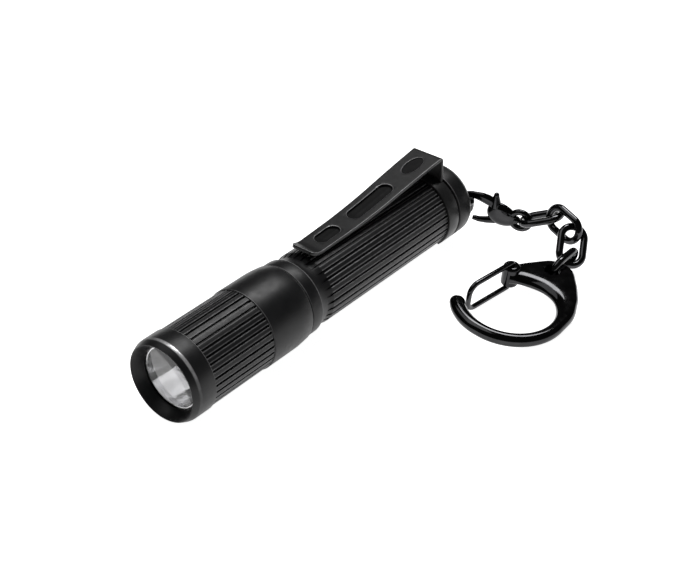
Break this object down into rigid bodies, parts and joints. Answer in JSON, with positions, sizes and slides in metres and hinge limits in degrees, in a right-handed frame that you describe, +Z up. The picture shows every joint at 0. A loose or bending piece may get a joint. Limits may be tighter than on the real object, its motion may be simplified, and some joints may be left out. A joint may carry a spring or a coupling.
{
  "type": "keychain flashlight",
  "caption": "Small round twist-head flashlight with a fluted body, a pocket clip, and a clasp, short chain and wire-gate carabiner on its tail.",
  "frame": {"origin": "on the light's axis, in the middle of the bezel's straight wall", "axes": "+Y along the light from the lens to the tail, +Z up through the clip, +X towards the keychain's side"},
  "size_m": [0.0415, 0.0792, 0.0175],
  "materials": {
    "anodised": "black hard anodised, fine satin",
    "lens_glass": "clear coated mineral glass",
    "seal_rubber": "soft black rubber",
    "reflector_metal": "vacuum metallised",
    "ring_plastic": "white moulded plastic",
    "emitter_ceramic": "white ceramic",
    "emitter_dome": "clear silicone over yellow phosphor",
    "board": "white solder mask",
    "driver_board": "green solder mask",
    "pill_brass": "turned brass",
    "chip_plastic": "black moulded body",
    "coil_ferrite": "dark ferrite",
    "lead_red": "red insulation",
    "lead_black": "black insulation",
    "contact_metal": "gold plated brass",
    "foam": "open-cell foam",
    "cell_jacket": "plain printed sleeve",
    "cell_steel": "nickel plated steel",
    "spring_steel": "drawn spring wire",
    "clip_steel": "black coated spring steel",
    "black_nickel": "black nickel plate"
  },
  "bodies": {
    "tube": {"battery_tube": "anodised", "neck_o_ring": "seal_rubber", "tail_spring": "spring_steel", "tail_spring_seat": "contact_metal"},
    "cell": {"cell_can": "cell_jacket", "cell_positive_cap": "cell_steel", "cell_negative_base": "cell_steel"},
    "head": {"head_shell": "anodised", "lens": "lens_glass", "lens_o_ring": "seal_rubber", "reflector": "reflector_metal", "led_centring_ring": "ring_plastic", "led_package": "emitter_ceramic", "led_dome": "emitter_dome", "led_board": "board", "pill": "pill_brass", "driver_board": "driver_board", "driver_coil": "coil_ferrite", "driver_chips": "chip_plastic", "led_lead_positive": "lead_red", "led_lead_negative": "lead_black", "driver_retaining_ring": "pill_brass", "positive_contact": "contact_metal", "foam_ring": "foam"},
    "clip_ring": {"clip_band": "clip_steel"},
    "clip_arm": {"clip_arm": "clip_steel"},
    "clasp": {"clasp_body": "black_nickel", "clasp_rivet": "black_nickel", "clasp_gate_spring": "spring_steel"},
    "clasp_gate": {"clasp_gate_lever": "black_nickel"},
    "link_1": {"chain_link_1": "black_nickel"},
    "link_2": {"chain_link_2": "black_nickel"},
    "link_3": {"chain_link_3": "black_nickel"},
    "link_4": {"chain_link_4": "black_nickel"},
    "carabiner": {"carabiner_body": "black_nickel"},
    "wire_gate": {"carabiner_wire_gate": "black_nickel"}
  },
  "joints": [
    {"name": "head_travel", "type": "slide", "parent": "tube", "child": "cell", "axis": [0, -1, 0], "range_m": [0, 0.0008]},
    {"name": "head_twist", "type": "hinge", "parent": "cell", "child": "head", "pos_m": [0, 0, 0], "axis": [0, -1, 0], "range_deg": [0, 360]},
    {"name": "clip_swivel", "type": "hinge", "parent": "tube", "child": "clip_ring", "pos_m": [0, 0.06128, 0], "axis": [0, 1, 0], "continuous": true},
    {"name": "clip_flex", "type": "hinge", "parent": "clip_ring", "child": "clip_arm", "pos_m": [0, 0.06227, 0.00979], "axis": [-1, 0, 0], "range_deg": [0, 6], "stiffness_Nm_per_rad": 1.2},
    {"name": "clasp_swing", "type": "hinge", "parent": "tube", "child": "clasp", "pos_m": [0.00287, 0.06822, -0.0004], "axis": [0.1392, 0, 0.9903], "range_deg": [-8, 60]},
    {"name": "clasp_gate", "type": "hinge", "parent": "clasp", "child": "clasp_gate", "pos_m": [0.00928, 0.07031, -0.00136], "axis": [-0.2971, 0.951, 0.0859], "range_deg": [0, 16], "stiffness_Nm_per_rad": 0.004},
    {"name": "link_1_swing", "type": "hinge", "parent": "clasp", "child": "link_1", "pos_m": [0.0144, 0.07212, -0.00199], "axis": [0.1883, -0.0298, 0.9817], "range_deg": [-12, 12]},
    {"name": "link_2_swing", "type": "hinge", "parent": "link_1", "child": "link_2", "pos_m": [0.01855, 0.07397, -0.00043], "axis": [-0.3489, 0.9227, -0.1642], "range_deg": [-12, 6]},
    {"name": "link_3_swing", "type": "hinge", "parent": "link_2", "child": "link_3", "pos_m": [0.02311, 0.07283, -0.00143], "axis": [0.2543, 0.1859, 0.9491], "range_deg": [-6, 12]},
    {"name": "link_4_swing", "type": "hinge", "parent": "link_3", "child": "link_4", "pos_m": [0.02491, 0.06945, -0.00432], "axis": [0.7429, 0.6169, -0.26], "range_deg": [-12, 12]},
    {"name": "carabiner_swing", "type": "hinge", "parent": "link_4", "child": "carabiner", "pos_m": [0.02511, 0.0636, -0.00421], "axis": [-0.1288, 0.0173, -0.9915], "range_deg": [-30, 30]},
    {"name": "wire_gate", "type": "hinge", "parent": "carabiner", "child": "wire_gate", "pos_m": [0.02025, 0.05844, -0.00367], "axis": [0.1288, -0.0173, 0.9915], "range_deg": [0, 28], "stiffness_Nm_per_rad": 0.004}
  ],
  "couplings": [
    {"joint": "head_twist", "follows": "head_travel", "rad_per_m": 7854}
  ]
}
